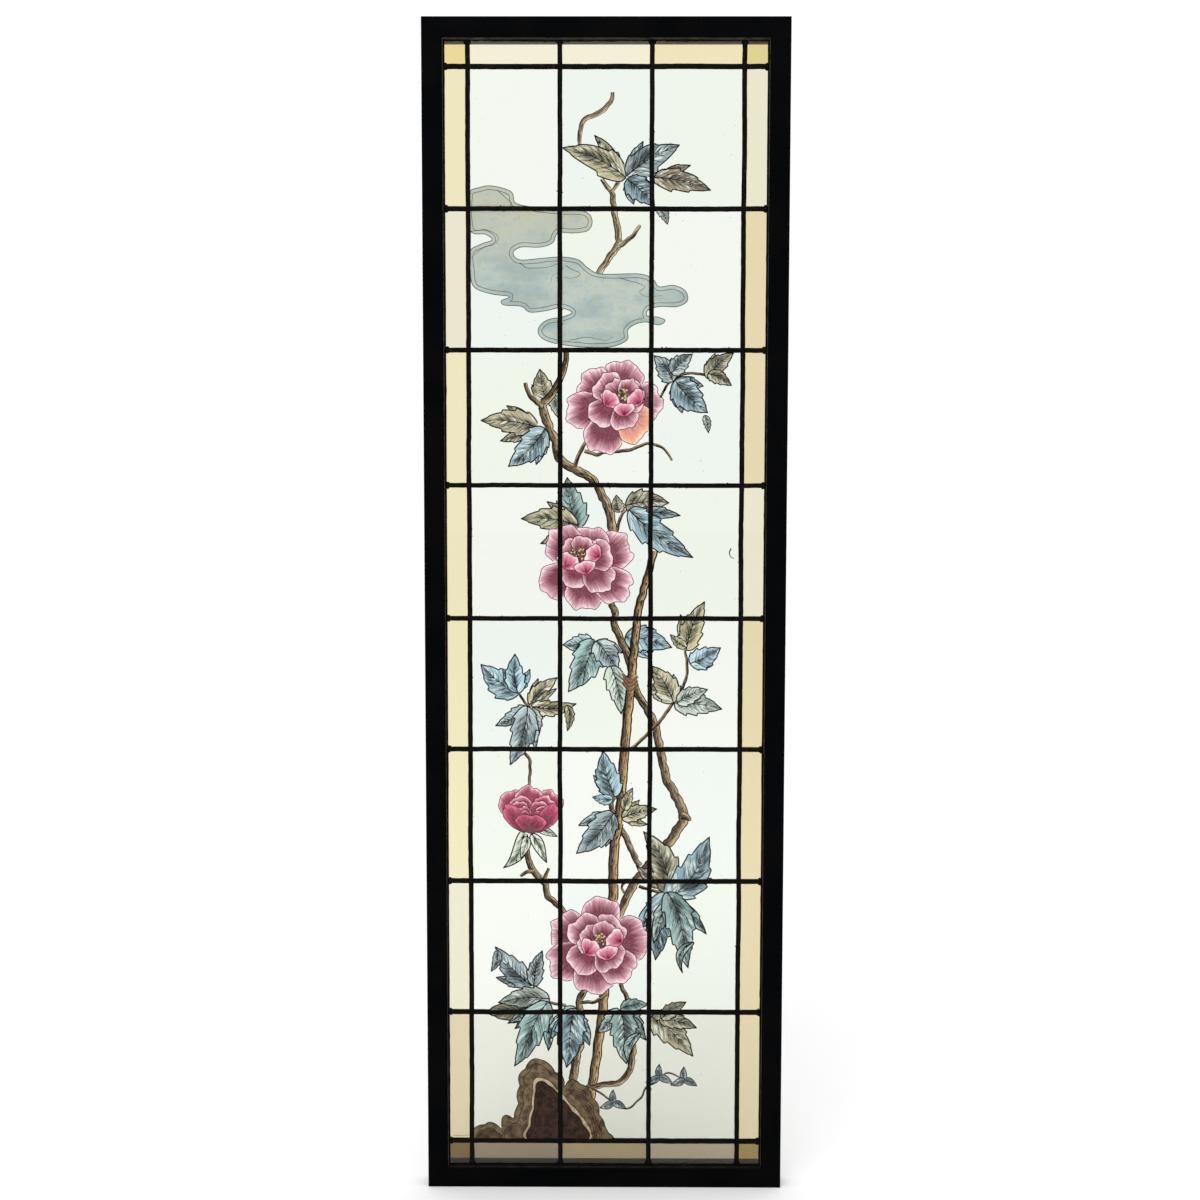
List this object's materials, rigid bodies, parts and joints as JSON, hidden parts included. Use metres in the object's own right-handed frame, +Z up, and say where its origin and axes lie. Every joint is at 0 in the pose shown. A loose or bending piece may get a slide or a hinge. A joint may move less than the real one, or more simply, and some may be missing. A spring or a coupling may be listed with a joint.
{
  "type": "leaded stained glass window panel",
  "caption": "Tall leaded panel of rectangular clear and tinted panes painted with a flowering branch, in a slim black frame.",
  "frame": {"origin": "centre of the underside of the frame's sill member, where the panel is fixed", "axes": "+X to the right seen from the front, +Y from the front to the back, +Z up"},
  "size_m": [0.526, 0.036, 1.71],
  "materials": {
    "black_paint": "softwood under satin black paint",
    "bead_wood": "dark brown-grey painted bead, worn",
    "lead_came": "lead came with a dark patina and solder joints",
    "clear_glass": "clear, faintly green, with small seeds",
    "cream_glass": "cream to straw tinted, transparent",
    "amber_glass": "deeper yellow tinted, transparent"
  },
  "bodies": {
    "root": {"main_glass_r1_c1": "clear_glass", "main_glass_r1_c2": "clear_glass", "main_glass_r1_c3": "clear_glass", "main_glass_r2_c1": "clear_glass", "main_glass_r2_c2": "clear_glass", "main_glass_r2_c3": "clear_glass", "main_glass_r3_c1": "clear_glass", "main_glass_r3_c2": "clear_glass", "main_glass_r3_c3": "clear_glass", "main_glass_r4_c1": "clear_glass", "main_glass_r4_c2": "clear_glass", "main_glass_r4_c3": "clear_glass", "main_glass_r5_c1": "clear_glass", "main_glass_r5_c2": "clear_glass", "main_glass_r5_c3": "clear_glass", "main_glass_r6_c1": "clear_glass", "main_glass_r6_c2": "clear_glass", "main_glass_r6_c3": "clear_glass", "main_glass_r7_c1": "clear_glass", "main_glass_r7_c2": "clear_glass", "main_glass_r7_c3": "clear_glass", "main_glass_r8_c1": "clear_glass", "main_glass_r8_c2": "clear_glass", "main_glass_r8_c3": "clear_glass", "border_glass_left_1": "cream_glass", "border_glass_left_2": "cream_glass", "border_glass_left_3": "cream_glass", "border_glass_left_4": "cream_glass", "border_glass_left_5": "cream_glass", "border_glass_left_6": "cream_glass", "border_glass_left_7": "cream_glass", "border_glass_left_8": "cream_glass", "border_glass_right_1": "cream_glass", "border_glass_right_2": "cream_glass", "border_glass_right_3": "cream_glass", "border_glass_right_4": "cream_glass", "border_glass_right_5": "cream_glass", "border_glass_right_6": "cream_glass", "border_glass_right_7": "cream_glass", "border_glass_right_8": "cream_glass", "border_glass_top_1": "cream_glass", "border_glass_top_2": "cream_glass", "border_glass_top_3": "cream_glass", "border_glass_bottom_1": "cream_glass", "border_glass_bottom_2": "cream_glass", "border_glass_bottom_3": "cream_glass", "corner_glass_top_left": "amber_glass", "corner_glass_top_right": "amber_glass", "corner_glass_bottom_left": "amber_glass", "corner_glass_bottom_right": "amber_glass", "lead_lattice": "lead_came", "frame_head": "black_paint", "frame_sill": "black_paint", "frame_jamb_left": "black_paint", "frame_jamb_right": "black_paint", "bead_head": "bead_wood", "bead_sill": "bead_wood", "bead_left": "bead_wood", "bead_right": "bead_wood"}
  },
  "joints": []
}
